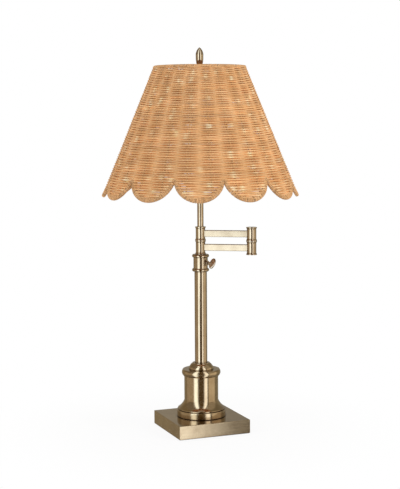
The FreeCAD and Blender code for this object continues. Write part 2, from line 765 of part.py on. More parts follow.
def lobe_frame():
    """Centre, radius and directions of the circle that one lobe's border follows, for a lobe on +X."""
    half_angle = math.pi / lobe_count
    middle = shade_wall / 2
    notch_radius = shade_radius(lobe_notch, middle)
    half_chord = notch_radius * math.sin(half_angle)
    chord = Vec(notch_radius * math.cos(half_angle), 0, lobe_notch)
    tip = Vec(shade_radius(lobe_tip, middle), 0, lobe_tip)
    depth = (tip - chord).Length
    down = (tip - chord).multiply(1 / depth)
    outer = (half_chord ** 2 + depth ** 2) / (2 * depth)
    centre = tip - down * outer
    outward = Vec(0, 1, 0).cross(down)
    if outward.x < 0:
        outward = outward * -1
    return centre, outer - hem_border_radius, down, outward


def lobe_ring(radius, ring_top):
    """The ring that a border or a wire makes round one lobe, below a height and within its sector."""
    centre, lobe_radius, down, outward = lobe_frame()
    ring = Part.makeTorus(lobe_radius, radius, Vec(0, 0, 0), Z_AXIS, 0, 360, 360)
    turn = FreeCAD.Rotation(Z_AXIS, outward)
    ring.Placement = FreeCAD.Placement(centre, turn)
    lower = Part.makeBox(shade_top, shade_top, shade_top, Vec(0, -shade_top / 2, ring_top - shade_top))
    return ring.common(lower).common(lobe_sector())


def lobe_sector():
    """The wedge of space that holds one lobe, as high as the shade."""
    half_angle = 180 / lobe_count
    reach = 2 * shade_radius(lobe_tip)
    corners = [Vec(0, 0, 0), at(-half_angle, reach), at(half_angle, reach), Vec(0, 0, 0)]
    return Part.Face(Part.makePolygon(corners)).extrude(Vec(0, 0, shade_top + overrun))


def round_the_shade(shape):
    """Copies of one sector's shape, all the way round."""
    return [turned_to(shape, lobe_angle + 360 * number / lobe_count) for number in range(lobe_count)]


def wall_outline(height):
    """The wall's section across one lobe at a height: a rib over each stake outside, plain inside."""
    half_angle = 180 / lobe_count
    rib_angle = 2 * half_angle / stakes_per_lobe
    crest = shade_radius(height)
    valley = crest - weave_rib_height
    inner = shade_radius(height, shade_wall)
    edges = []
    for number in range(stakes_per_lobe):
        start = rib_angle * number - half_angle
        points = [(start, valley), (start + rib_angle / 2, crest), (start + rib_angle, valley)]
        edges.append(Part.Arc(*[at(angle, radius, height) for angle, radius in points]).toShape())
    right, left = at(half_angle, inner, height), at(-half_angle, inner, height)
    edges.append(Part.makeLine(at(half_angle, valley, height), right))
    edges.append(Part.Arc(right, at(0, inner, height), left).toShape())
    edges.append(Part.makeLine(left, at(-half_angle, valley, height)))
    return Part.Wire(edges)


def weave_sector(border, top_border):
    """One lobe's share of the woven wall."""
    centre, lobe_radius, down, outward = lobe_frame()
    wall = Part.makeLoft([wall_outline(lobe_tip - overrun), wall_outline(border_height())], True, True)
    above = Part.makeBox(shade_top, shade_top, shade_top, Vec(0, -shade_top / 2, centre.z))
    reach = shade_top_radius
    tongue = Part.makeCylinder(lobe_radius, 2 * reach, centre - outward * reach, outward)
    return wall.common(above.fuse(tongue)).cut(border).cut(top_border)


def border_height():
    """The height of the top border's centre line."""
    return shade_top - top_border_radius


def stakes_in_lobe(border):
    """The stakes behind one lobe, from the top border down to the lobe's border."""
    centre, lobe_radius, down, outward = lobe_frame()
    inset = shade_wall + (stake_radius + running_gap) * math.hypot(1, shade_slope)
    rods = []
    for number in range(stakes_per_lobe):
        share = (number + 0.5) / stakes_per_lobe - 0.5
        angle = share * 360 / lobe_count
        top = at(angle, shade_radius(border_height(), inset), border_height())
        low = at(angle, shade_radius(lobe_tip, inset), lobe_tip)
        run = (low - top).normalize()
        start_side, start_down = top.y, (top - centre).dot(down)
        run_down = run.dot(down)
        square = run.y ** 2 + run_down ** 2
        cross = start_side * run.y + start_down * run_down
        rest = start_side ** 2 + start_down ** 2 - lobe_radius ** 2
        length = (-cross + math.sqrt(cross ** 2 - square * rest)) / square
        rods.append(bar_between(top, top + run * length, stake_radius).cut(border))
    return rods


def build_shade():
    """Woven wall in one panel per lobe, borders with their wires, stakes and the spider on the harp."""
    rim_height = border_height()
    rim_radius = shade_radius(rim_height, shade_wall / 2)
    wire = Part.makeTorus(rim_radius, frame_wire_radius, Vec(0, 0, rim_height))
    roll = Part.makeTorus(rim_radius, top_border_radius, Vec(0, 0, rim_height))
    border = lobe_ring(hem_border_radius, lobe_frame()[0].z)
    hem_wire = lobe_ring(frame_wire_radius, lobe_notch)
    parts["shade_weave"] = Part.makeCompound(round_the_shade(weave_sector(border, roll)))
    parts["hem_border"] = together(round_the_shade(border.cut(hem_wire)))
    parts["hem_wire"] = Part.makeCompound(round_the_shade(hem_wire))
    stakes = []
    for rod in stakes_in_lobe(border):
        stakes += round_the_shade(rod.cut(roll))
    parts["shade_stakes"] = Part.makeCompound(stakes)

    hub_bottom = swivel_top
    hub = cylinder(spider_hub_radius, hub_bottom, finial_bottom)
    arms = []
    for number in range(spider_arms):
        angle = lobe_angle + 180 / lobe_count + 360 * number / spider_arms
        start = at(angle, spider_arm_start, hub_bottom + spider_arm_radius)
        arms.append(bar_between(start, at(angle, rim_radius, rim_height), spider_arm_radius))
    spider = together([hub] + arms).cut(wire)
    parts["shade_spider"] = spider.cut(cylinder(stud_radius + running_gap, hub_bottom, shade_top))
    parts["top_ring"] = wire
    parts["top_border"] = roll.cut(together([wire] + arms))


def build_finial():
    """Pointed bud that screws onto the stud and holds the shade down."""
    top = finial_bottom + finial_height
    foot_top = finial_bottom + finial_foot_height
    finial = turned([
        (finial_foot_radius, finial_bottom),
        (finial_foot_radius, foot_top),
        (finial_neck_radius, finial_bottom + finial_neck_height),
        (finial_bud_radius, finial_bottom + finial_bud_height, finial_bud_bulge_share),
        (finial_tip_radius, top, finial_tip_bulge_share),
        (0, top),
        (0, finial_bottom),
    ])
    stud_way = swivel_top + stud_length + loose_gap
    parts["finial"] = finial.cut(cylinder(stud_radius + running_gap, finial_bottom - overrun, stud_way))


def main():
    elbow = at(arm_angle, arm_reach)
    build_base()
    build_tie_rod()
    build_pedestal()
    build_pole()
    build_thumb_screw()
    build_post()
    build_lower_arm(elbow)
    build_upper_arm(elbow)
    build_harp()
    build_socket()
    build_switch()
    build_bulb()
    build_shade()
    build_finial()
    os.makedirs("parts", exist_ok=True)
    for name, shape in parts.items():
        shape.exportStep("parts/" + name + ".step")
        box = shape.BoundBox
        print("%-20s solids %2d volume %10.1f z %7.1f to %7.1f valid %s" % (
            name, len(shape.Solids), shape.Volume, box.ZMin, box.ZMax, shape.isValid()))
    print(len(parts), "nodes")


main()
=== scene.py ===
import json
import math

import bpy
import numpy as np
from mathutils import Matrix, Vector


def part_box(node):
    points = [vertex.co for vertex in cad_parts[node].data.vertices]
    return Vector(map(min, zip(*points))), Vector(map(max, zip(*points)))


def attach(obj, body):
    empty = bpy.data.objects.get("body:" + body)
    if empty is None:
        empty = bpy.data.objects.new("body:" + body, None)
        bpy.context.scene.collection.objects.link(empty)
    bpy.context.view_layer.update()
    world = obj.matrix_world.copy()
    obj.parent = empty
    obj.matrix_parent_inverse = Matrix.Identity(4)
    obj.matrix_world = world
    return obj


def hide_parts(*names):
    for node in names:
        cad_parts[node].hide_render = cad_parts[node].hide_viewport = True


# Swing arm table lamp: brass stand and arms from the frame, and a woven rattan shade built here.
# Lengths are metres. The shade turns about the Z axis, and all its pieces ride on body "shade".

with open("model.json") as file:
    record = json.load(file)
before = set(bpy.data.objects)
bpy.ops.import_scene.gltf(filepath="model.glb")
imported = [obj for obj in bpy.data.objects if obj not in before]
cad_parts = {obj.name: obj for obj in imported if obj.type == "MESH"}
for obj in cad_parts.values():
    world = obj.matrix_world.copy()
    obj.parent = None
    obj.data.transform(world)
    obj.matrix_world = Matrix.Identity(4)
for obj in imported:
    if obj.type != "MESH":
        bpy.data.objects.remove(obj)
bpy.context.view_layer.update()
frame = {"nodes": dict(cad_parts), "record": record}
nodes = frame["nodes"]

# Camera, as fitted to the photograph. Angles are degrees.
CAMERA_PLACE = (-0.9195, -2.3463, 0.6414)
CAMERA_PITCH = 5.905
CAMERA_ROLL = -0.30
CAMERA_ASIDE = 0.024
CAMERA_AZIMUTH = math.degrees(math.atan2(CAMERA_PLACE[1], CAMERA_PLACE[0]))
FOCAL_PIXELS = 1248.0
IMAGE_WIDTH = 400
SENSOR_WIDTH = 36.0

# Shade: the middle of the woven wall, from its top edge down
SHADE_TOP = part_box("top_border")[1].z
SHADE_TOP_RADIUS = 0.0921
SHADE_SLOPE = 0.411
WALL_INSET = 0.00295
WALL_TOP_RADIUS = SHADE_TOP_RADIUS - WALL_INSET
WALL_LEAN = math.hypot(1, SHADE_SLOPE)
LOBES = 12
LOBE_ANGLE = math.radians(8.0)
LOBE_TURNS = [LOBE_ANGLE + lobe * 2 * math.pi / LOBES for lobe in range(LOBES)]
LOBE_NOTCH = 0.5128
LOBE_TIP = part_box("hem_border")[0].z
TOP_ROLL = 0.0029
HEM_ROLL = 0.0027

# Stakes, two in each lobe
STAKES = 24
STAKE_RADIUS = 0.0013
STAKE_SIDES = 8
STAKE_SAMPLES = 60
STAKE_DRIFT = 0.003

# Weave: reeds that pass in front of and behind the stakes
FIRST_ROW_ROLLS = 1.6
ROW_PITCH_TOP = 0.00212
ROW_PITCH_FOOT = 0.00237
WAVES = STAKES // 2
SAMPLES_PER_WAVE = 24
SAMPLES = WAVES * SAMPLES_PER_WAVE
WAVE_DEPTH = 0.00155
WAVE_FULLNESS = 0.8
REED_TALL = 0.00150
REED_DEEP = 0.0014
REED_SIDES = 8
CREST_TALLER = 0.10

# Unevenness along a reed: how much, and how many samples from one random value to the next
DEPTH_UNEVEN = (0.12, 8)
LIFT_UNEVEN = (0.00017, 10)
SIZE_UNEVEN = (0.06, 12)
TONE_UNEVEN = (0.05, 11)

# Spread of the tone from one reed to the next
WEAVE_SPREAD = 0.04
STAKE_SPREAD = 0.05
CORE_SPREAD = 0.03
STITCH_SPREAD = 0.12
WARMTH_SPREAD = 0.035
WARMTH_IN_RED = 0.4
TONE_LIMITS = (0.5, 1.45)

# Colour factors of a reed where it lies over a stake, and how common they are: plain, red, dark, pale
CELL_KINDS = np.array(((1.0, 1.0, 1.0), (1.02, 0.90, 0.80), (0.88, 0.86, 0.83), (1.06, 1.10, 1.16)))
CELL_CHANCES = (0.74, 0.09, 0.08, 0.09)
CELL_SPREAD = 0.05
# Colour factors of a reed where it passes behind a stake: painted warm shade
BEHIND_SHADE_TINT = np.array((1.17, 0.97, 0.79))

# Pale spots, partly paler reed and partly painted light showing through the weave: each over one stake and a
# few rows
PALE_LIGHT_SPOTS = 210
PALE_ROWS = (3, 6)
PALE_SHIFT = 0.16
PALE_LEVELS = (0.4, 1.3)
PALE_WIDTH = 0.11
PALE_LIGHT_TINT = np.array((1.22, 1.52, 1.90))
PALEST_LIGHT_TINT = (1.25, 1.75, 2.45)

# Bindings of both edges: a round core and flat reeds over it. Ranges are shares of the even size.
BINDING_SIDES = 6
CORE_RADIUS = 0.0019
STITCH_PITCH = 0.0026
STITCH_REACH = 0.0085
STITCH_REACHES = (0.72, 1.12)
STITCH_SLANTS = (0.25, 0.6)
STITCH_WIDE = 0.00122
STITCH_WIDTHS = (0.9, 1.08)
STITCH_THICK = 0.00062
STITCH_DRIFT = 0.006
HEM_SAMPLES = 72
HEM_END_FIRST, HEM_END_LAST, HEM_END_STEP = (math.radians(angle) for angle in (60, 92, 0.5))
NOTCH_MARGIN = 0.0003
TOP_SAMPLES = 144
WRAP_STEPS = 14
WRAP_DRIFT = 0.06
WRAP_SLANT = 0.55
WRAP_DROPS = (0.9, 1.5)
WRAP_WIDTHS = (0.88, 1.05)

# One stitch of the hem: share of its reach inwards and share of the roll outwards
STITCH_SHAPE = np.array((
    (1.00, 0.25), (0.85, 0.80), (0.55, 0.95), (0.25, 1.05), (0.00, 1.10), (-0.17, 0.85),
    (-0.24, 0.40), (-0.25, 0.00), (-0.24, -0.40), (-0.17, -0.85), (0.00, -1.10), (0.25, -1.05),
    (0.55, -0.95), (0.85, -0.80), (1.00, -0.25),
))

# Even noise, brushing round and along a piece, and fibres of the rattan: how fine along each axis
EVEN = (1, 1, 1)
TURNED = (6, 6, 1500)
LEVEL = (10, 10, 1500)
FIBRES = (900, 900, 140)

# How fine the mottling is
BRASS_MOTTLE = 38.0
PLAIN_MOTTLE = 30.0
REED_MOTTLE = 26.0
BULB_MOTTLE = 60.0

# Strength and depth of the relief, and the range of the roughness
BRASS_RELIEF = (0.08, 0.00003)
REED_RELIEF = (0.25, 0.00006)
PLAIN_RELIEF = 0.3
BRASS_ROUGHER = (-0.05, 0.07)
PLAIN_ROUGHER = (-0.06, 0.08)
REED_ROUGHNESS = (0.42, 0.62)
BULB_ROUGHNESS = (0.22, 0.32)

# Colour factors along a noise or along the openness of a corner: place and factor
BRASS_PATINA = ((0.30, (0.80, 0.76, 0.72)), (0.62, (1.0, 1.0, 1.0)))
BRASS_STREAK = ((0.25, (0.86, 0.84, 0.80)), (0.75, (1.06, 1.06, 1.06)))
# Darker where a corner closes in: painted shade, with some tarnish
BRASS_TARNISH_AND_SHADE = ((0.40, (0.30, 0.24, 0.18)), (0.86, (1.0, 1.0, 1.0)))
CORNER_REACH = 0.007
CORNER_SAMPLES = 6
REED_STREAK = ((0.25, (0.80, 0.74, 0.66)), (0.62, (1.0, 1.0, 1.0)), (0.85, (1.08, 1.10, 1.12)))
REED_PATCH = ((0.32, (0.88, 0.82, 0.74)), (0.66, (1.04, 1.04, 1.05)))
PLAIN_PLACES = (0.3, 0.7)
BULB_CLOUD = ((0.3, (0.86, 0.85, 0.82)), (0.7, (0.93, 0.92, 0.90)))

# Sockets of a colour mixer: factor, both colours and the result
MIX_FACTOR, MIX_FIRST, MIX_SECOND, MIX_RESULT = 0, 6, 7, 2

# Studio cards seen in the metal: name, left edge at the foot and at the bend in degrees to the right of
# the camera, half width of that soft edge at the bend, how bright, and the share of it left higher up.
# Each card ends where the next one starts.
CARDS = (
    ("back_left", -180, -180, 5, (0.39, 0.35, 0.28), 1.0),
    ("far_left", -150, -150, 5, (0.41, 0.34, 0.22), 0.8),
    ("left", -112, -112, 5, (0.70, 0.61, 0.48), 0.5),
    ("left_box", -49, -49, 4, (3.2, 3.8, 4.5), 0.9),
    ("gap", -20.5, -23, 4.5, (0.17, 0.115, 0.05), 1.0),
    ("right_box", 25.5, 21, 4.5, (2.75, 3.0, 3.35), 0.9),
    ("right_edge", 45.5, 42.4, 0.5, (0.09, 0.07, 0.045), 1.0),
    ("right", 50, 49.6, 1.5, (1.12, 1.02, 0.84), 0.5),
    ("far_right", 105, 105, 5, (0.40, 0.36, 0.26), 0.8),
    ("back_right", 150, 150, 5, (0.32, 0.29, 0.235), 1.0),
)
CARD_DISTANCE = 3.2

# Heights where the cards' edges stop leaning, where their levels change, and where the cards end
CARD_BEND = 0.62
CARD_FADE = (0.85, 1.35)
CARD_TOP = 14.0

# The widest step round the cards in degrees, and how much softer an edge is at the foot
CARD_STEP = 15
FOOT_SOFTER = 2.0

# A low card in front of them for the arms: angle, then below and at the top how far its level goes from
# the level of the gap to that of the left box
ARM_CARD = ((-25, 1.0, 0.75), (-15, 1.0, 0.12), (-8, 0.0, 0.0))
ARM_CARD_HEIGHTS = (0, 0.10, 0.20)
ARM_CARD_NEARER = 0.05

# Table, floor and white background
WHITE = (1, 1, 1, 1)
PALE_GREY = (0.92, 0.92, 0.92, 1)
DISC_CORNERS = 96
POLISH_HEIGHT = 0.0004
FLOOR_RADIUS = 0.5
FLOOR_TOP = -0.0004
FLOOR_FADE = (0.35, 0.95)
FLOOR_WHITE_SHARE = 0.90
WORLD_LEVEL = 0.74

# Soft lights: name, degrees to the right of the camera, and how bright
LIGHTS = (("left", -60, 2.75), ("right", 65, 5.0))
LIGHT_HEIGHT = 0.9
LIGHT_DISTANCE = 2.4
LIGHT_SIZE = (1.0, 2.0)
LIGHT_AIM = Vector((0, 0, 0.42))

rng = np.random.default_rng(7)


def placed(name, data):
    """A new object in the scene."""
    made = bpy.data.objects.new(name, data)
    bpy.context.scene.collection.objects.link(made)
    return made


def mesh_piece(name, verts, faces, tints, body="shade"):
    """A smooth mesh object from arrays of corners, quads and tints per corner, riding on a body."""
    mesh = bpy.data.meshes.new(name)
    mesh.vertices.add(len(verts))
    mesh.vertices.foreach_set("co", np.asarray(verts, np.float32).ravel())
    faces = np.asarray(faces, np.int32)
    mesh.loops.add(faces.size)
    mesh.loops.foreach_set("vertex_index", faces.ravel())
    mesh.polygons.add(len(faces))
    mesh.polygons.foreach_set("loop_start", np.arange(0, faces.size, 4, dtype=np.int32))
    mesh.polygons.foreach_set("loop_total", np.full(len(faces), 4, np.int32))
    mesh.polygons.foreach_set("use_smooth", np.ones(len(faces), bool))
    layer = mesh.attributes.new("tint", "FLOAT_COLOR", "POINT")
    colours = np.ones((len(verts), 4), np.float32)
    colours[:, :3] = tints
    layer.data.foreach_set("color", colours.ravel())
    mesh.update(calc_edges=True)
    mesh.validate()
    piece = placed(name, mesh)
    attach(piece, body)
    return piece


class Strands:
    """Collects tubes along paths, with a tint per vertex, into one mesh."""

    def __init__(self, sides):
        self.sides = sides
        self.verts, self.faces, self.tints = [], [], []
        self.count = 0

    def add(self, centres, across, normal, wide, thick, tint, closed=False):
        """One tube: centres (n,3), two unit directions of its section (n,3), its half sizes and its tint."""
        n, sides = len(centres), self.sides
        turn = np.arange(sides) * 2 * math.pi / sides
        wide = np.broadcast_to(np.asarray(wide, float), n)
        thick = np.broadcast_to(np.asarray(thick, float), n)
        ring = (centres[:, None, :]
                + across[:, None, :] * (np.cos(turn)[None, :, None] * wide[:, None, None])
                + normal[:, None, :] * (np.sin(turn)[None, :, None] * thick[:, None, None]))
        self.verts.append(ring.reshape(-1, 3))
        rows = np.arange(n if closed else n - 1)[:, None] * sides
        after = (rows + sides) % (n * sides)
        side = np.arange(sides)
        beside = (side + 1) % sides
        quads = np.stack([rows + side, rows + beside, after + beside, after + side], axis=-1)
        self.faces.append(quads.reshape(-1, 4) + self.count)
        tint = np.broadcast_to(np.asarray(tint, float), (n, 3))
        self.tints.append(np.repeat(tint, sides, axis=0))
        self.count += n * sides

    def piece(self, name):
        return mesh_piece(name, np.concatenate(self.verts), np.concatenate(self.faces),
                          np.concatenate(self.tints))


def wall_radius(height):
    """The radius of the middle of the woven wall at a height."""
    return WALL_TOP_RADIUS + SHADE_SLOPE * (SHADE_TOP - height)


def polar(angle, radius, height):
    """Points at some angles. Radius and height are one value or one for each angle."""
    height = np.broadcast_to(height, angle.shape)
    return np.stack([np.cos(angle) * radius, np.sin(angle) * radius, height], axis=-1)


def radial(angle):
    """Unit vectors away from the Z axis at some angles."""
    return polar(angle, 1, 0)


def on_wall(angle, height):
    """Points in the middle of the woven wall."""
    return polar(angle, wall_radius(height), height)


def wall_normal(angle):
    """Unit vectors out of the conical wall at some angles."""
    return polar(angle, 1 / WALL_LEAN, SHADE_SLOPE / WALL_LEAN)


def wall_down(angle):
    """Unit vectors down the conical wall at some angles."""
    return polar(angle, SHADE_SLOPE / WALL_LEAN, -1 / WALL_LEAN)


def turned_points(points, turn):
    """Points or directions turned about the Z axis."""
    c, s = math.cos(turn), math.sin(turn)
    x, y, z = points.T
    return np.stack([c * x - s * y, s * x + c * y, z], axis=1)


def lobe_circle():
    """Centre, radius, down direction and outward direction of the hem's circle in the lobe on +X."""
    half = math.pi / LOBES
    notch = wall_radius(LOBE_NOTCH)
    chord = Vector((notch * math.cos(half), 0, LOBE_NOTCH))
    tip = Vector((wall_radius(LOBE_TIP), 0, LOBE_TIP))
    depth = (tip - chord).length
    down = (tip - chord) / depth
    half_chord = notch * math.sin(half)
    outer = (half_chord ** 2 + depth ** 2) / (2 * depth)
    outward = Vector((-down.z, 0, down.x))
    return np.array(tip - down * outer), outer - HEM_ROLL, np.array(down), np.array(outward)


LOBE_CENTRE, LOBE_RADIUS, LOBE_DOWN, LOBE_OUT = lobe_circle()
LOBE_SIDE = np.array((0.0, 1.0, 0.0))


def lobe_reach(points):
    """How far points in the lobe on +X lie from the centre of its circle, in the circle's plane."""
    away = points - LOBE_CENTRE
    return np.hypot(away[:, 1], away @ LOBE_DOWN)


def hem_inward(phi):
    """Directions from the hem of the lobe on +X to the centre of its circle, phi round from its tip."""
    return -(np.multiply.outer(np.cos(phi), LOBE_DOWN) + np.multiply.outer(np.sin(phi), LOBE_SIDE))


def strip_sides(run, across):
    """Unit directions across and out of a flat reed, from where it runs and roughly across it."""
    run = run / np.linalg.norm(run, axis=1)[:, None]
    across = across - (across * run).sum(1)[:, None] * run
    across /= np.linalg.norm(across, axis=1)[:, None]
    return across, np.cross(run, across)


def reed_tone(spread):
    """A colour factor for one reed: lighter, darker, redder or paler."""
    light = 1 + rng.normal(0, spread)
    warm = rng.normal(0, WARMTH_SPREAD)
    return np.clip(light * np.array((1 + warm * WARMTH_IN_RED, 1, 1 - warm)), *TONE_LIMITS)


def uneven(amount, step):
    """A smooth random curve round one row, with a random value every few samples."""
    knots = SAMPLES // step
    values = rng.normal(0, 1, knots)
    places = np.arange(SAMPLES) * knots / SAMPLES
    low = np.floor(places).astype(int)
    share = places - low
    share = share * share * (3 - 2 * share)
    return amount * (values[low % knots] * (1 - share) + values[(low + 1) % knots] * share)


def row_heights():
    """Heights of the rows, from just under the top border to the lowest lobe."""
    heights = []
    height = SHADE_TOP - FIRST_ROW_ROLLS * TOP_ROLL
    foot = LOBE_TIP + HEM_ROLL
    while height > foot:
        heights.append(height)
        share = (SHADE_TOP - height) / (SHADE_TOP - foot)
        height -= ROW_PITCH_TOP + (ROW_PITCH_FOOT - ROW_PITCH_TOP) * share
    return heights


def pale_light_spots(rows):
    """For each row, where its reed is pale, as paler reed and painted light through the weave, and how much.
    """
    places = {}
    for _ in range(PALE_LIGHT_SPOTS):
        first, stake, shift = rng.integers(rows), rng.integers(STAKES), rng.normal(0, PALE_SHIFT)
        pale = rng.uniform(*PALE_LEVELS)
        for row in range(first, first + rng.integers(*PALE_ROWS)):
            places.setdefault(int(row), []).append((int(stake), shift, pale))
    return places


def cell_tints():
    """A colour factor for the stretch of one reed over each stake."""
    chosen = CELL_KINDS[rng.choice(len(CELL_KINDS), STAKES, p=CELL_CHANCES)]
    return chosen * (1 + rng.normal(0, CELL_SPREAD, (STAKES, 1)))


def row_tints(place, wave, spots):
    """Colour factors along one row: its tone, its stretches over the stakes, painted warm shade behind them,
    and its pale spots.
    """
    tint = reed_tone(WEAVE_SPREAD) * (1 + uneven(*TONE_UNEVEN))[:, None]
    stake = np.round(place).astype(int) % STAKES
    tint = tint * (1 + np.abs(wave)[:, None] * (cell_tints()[stake] - 1))
    # Painted warm shade where the reed passes behind a stake
    tint = tint * (1 + np.clip(-wave, 0, 1)[:, None] * (BEHIND_SHADE_TINT - 1))
    # Pale spots: paler reed and painted light showing through the weave
    for spot_stake, shift, pale in spots:
        away = (place - spot_stake - shift + STAKES / 2) % STAKES - STAKES / 2
        tint = tint * (1 + pale * np.exp(-(away / PALE_WIDTH) ** 2)[:, None] * (PALE_LIGHT_TINT - 1))
    return np.minimum(tint, PALEST_LIGHT_TINT)


def build_weave():
    """Rows of reed woven round the stakes. Below the notches a row is one piece per lobe."""
    reeds = Strands(REED_SIDES)
    angle = np.arange(SAMPLES) * 2 * math.pi / SAMPLES + LOBE_ANGLE
    place = (angle - LOBE_ANGLE) * STAKES / (2 * math.pi) - 0.5
    stake_drift = rng.normal(0, STAKE_DRIFT, STAKES)[np.round(place).astype(int) % STAKES]
    swing = np.cos(WAVES * (angle - LOBE_ANGLE - math.pi / STAKES) + WAVES * stake_drift)
    swing = np.sign(swing) * np.abs(swing) ** WAVE_FULLNESS
    normal, down = wall_normal(angle), wall_down(angle)
    heights = row_heights()
    spots = pale_light_spots(len(heights))
    for number, height in enumerate(heights):
        wave = swing if number % 2 == 0 else -swing
        depth = WAVE_DEPTH * (1 + uneven(*DEPTH_UNEVEN))
        centres = on_wall(angle, height + uneven(*LIFT_UNEVEN)) + normal * (wave * depth)[:, None]
        tall = REED_TALL * (1 + uneven(*SIZE_UNEVEN)) * (1 + CREST_TALLER * np.abs(wave))
        deep = REED_DEEP * (1 + uneven(*SIZE_UNEVEN))
        section = (down, normal, tall, deep, row_tints(place, wave, spots.get(number, ())))
        if height > LOBE_CENTRE[2]:
            reeds.add(centres, *section, closed=True)
        else:
            add_lobe_rows(reeds, angle, centres, section)
    return reeds.piece("woven_wall")


def add_lobe_rows(reeds, angle, centres, section):
    """The stretches of one row that lie inside the lobes."""
    for middle in LOBE_TURNS:
        offset = (angle - middle + math.pi) % (2 * math.pi) - math.pi
        order = np.argsort(offset)
        order = order[np.abs(offset[order]) <= math.pi / LOBES + 1e-6]
        keep = order[lobe_reach(turned_points(centres[order], -middle)) < LOBE_RADIUS]
        if len(keep) > 2:
            reeds.add(centres[keep], *(values[keep] for values in section))


def build_stakes():
    """Upright stakes in the middle of the wall, from the top border down to the hem."""
    rods = Strands(STAKE_SIDES)
    heights = np.linspace(SHADE_TOP - TOP_ROLL, LOBE_TIP, STAKE_SAMPLES)
    for turn in LOBE_TURNS:
        for side in (-0.5, 0.5):
            angle = np.full(STAKE_SAMPLES, side * math.pi / LOBES)
            inside = (lobe_reach(on_wall(angle, heights)) < LOBE_RADIUS) | (heights > LOBE_CENTRE[2])
            angle = angle + turn
            normal = wall_normal(angle)
            across = np.cross(normal, wall_down(angle))
            rods.add(on_wall(angle, heights)[inside], across[inside], normal[inside],
                     STAKE_RADIUS, STAKE_RADIUS, reed_tone(STAKE_SPREAD))
    return rods.piece("upright_stakes")


def hem_end():
    """How far round from its tip the hem of a lobe reaches, up to the border with the next lobe."""
    half_sector = math.tan(math.pi / LOBES)
    end = HEM_END_FIRST
    while end < HEM_END_LAST:
        spot = LOBE_CENTRE - LOBE_RADIUS * hem_inward(end)
        if spot[1] > spot[0] * half_sector - NOTCH_MARGIN:
            break
        end += HEM_END_STEP
    return end


def build_hem():
    """Binding of the scalloped edge: a core along each lobe and stitches that wrap over it."""
    binding = Strands(BINDING_SIDES)
    end = hem_end()
    inward = hem_inward(np.linspace(-end, end, HEM_SAMPLES))
    core = LOBE_CENTRE - LOBE_RADIUS * inward
    outward = np.tile(LOBE_OUT, (HEM_SAMPLES, 1))
    stitches = int(round(2 * end * LOBE_RADIUS / STITCH_PITCH))
    for turn in LOBE_TURNS:
        binding.add(*(turned_points(part, turn) for part in (core, inward, outward)),
                    CORE_RADIUS, CORE_RADIUS, reed_tone(CORE_SPREAD))
        for number in range(stitches):
            phi = -end + 2 * end * (number + 0.5) / stitches + rng.normal(0, STITCH_DRIFT)
            add_stitch(binding, phi, turn)
    return binding.piece("hem_binding")


def add_stitch(binding, phi, turn):
    """One flat reed looped over the hem, longer or shorter than its neighbours."""
    reach = STITCH_REACH * rng.uniform(*STITCH_REACHES)
    slant = STITCH_PITCH * rng.uniform(*STITCH_SLANTS)
    inward = hem_inward(phi)
    tangent = -math.sin(phi) * LOBE_DOWN + math.cos(phi) * LOBE_SIDE
    ins, outs = STITCH_SHAPE.T
    ins = ins * np.where(ins > 0, reach, STITCH_REACH)
    outs = outs * HEM_ROLL
    squeeze = 1 - np.clip(ins, 0, None) / LOBE_RADIUS
    drift = np.linspace(0.5, -0.5, len(STITCH_SHAPE)) * slant * squeeze
    spots = LOBE_CENTRE - LOBE_RADIUS * inward + (
        ins[:, None] * inward + outs[:, None] * LOBE_OUT + drift[:, None] * tangent)
    across, normal = strip_sides(np.gradient(spots, axis=0), np.tile(tangent, (len(spots), 1)))
    wide = STITCH_WIDE * squeeze * rng.uniform(*STITCH_WIDTHS)
    binding.add(*(turned_points(part, turn) for part in (spots, across, normal)),
                wide, STITCH_THICK, reed_tone(STITCH_SPREAD))


def build_top_binding():
    """Binding of the top edge: a round core with reeds wrapped round it."""
    binding = Strands(BINDING_SIDES)
    height = SHADE_TOP - TOP_ROLL
    radius = wall_radius(height)
    angle = np.arange(TOP_SAMPLES) * 2 * math.pi / TOP_SAMPLES
    up = np.tile(np.array((0.0, 0.0, 1.0)), (TOP_SAMPLES, 1))
    binding.add(polar(angle, radius, height), up, radial(angle),
                CORE_RADIUS, CORE_RADIUS, reed_tone(CORE_SPREAD), closed=True)
    turn = np.arange(WRAP_STEPS) * 2 * math.pi / WRAP_STEPS
    slant = WRAP_SLANT * STITCH_PITCH / radius
    roll = TOP_ROLL - STITCH_THICK
    wraps = int(round(2 * math.pi * radius / STITCH_PITCH))
    for number in range(wraps):
        middle = 2 * math.pi * (number + rng.normal(0, WRAP_DRIFT)) / wraps
        around = middle + slant * np.sin(turn)
        high = np.sin(turn) * np.where(np.sin(turn) > 0, 1, rng.uniform(*WRAP_DROPS)) * roll
        lean = np.cos(turn) * roll - high * SHADE_SLOPE * (high < 0)
        spots = polar(around, radius + lean, height + high)
        run = np.roll(spots, -1, axis=0) - np.roll(spots, 1, axis=0)
        across, normal = strip_sides(run, radial(around + math.pi / 2))
        binding.add(spots, across, normal, STITCH_WIDE * rng.uniform(*WRAP_WIDTHS), STITCH_THICK,
                    reed_tone(STITCH_SPREAD), closed=True)
    return binding.piece("top_binding")


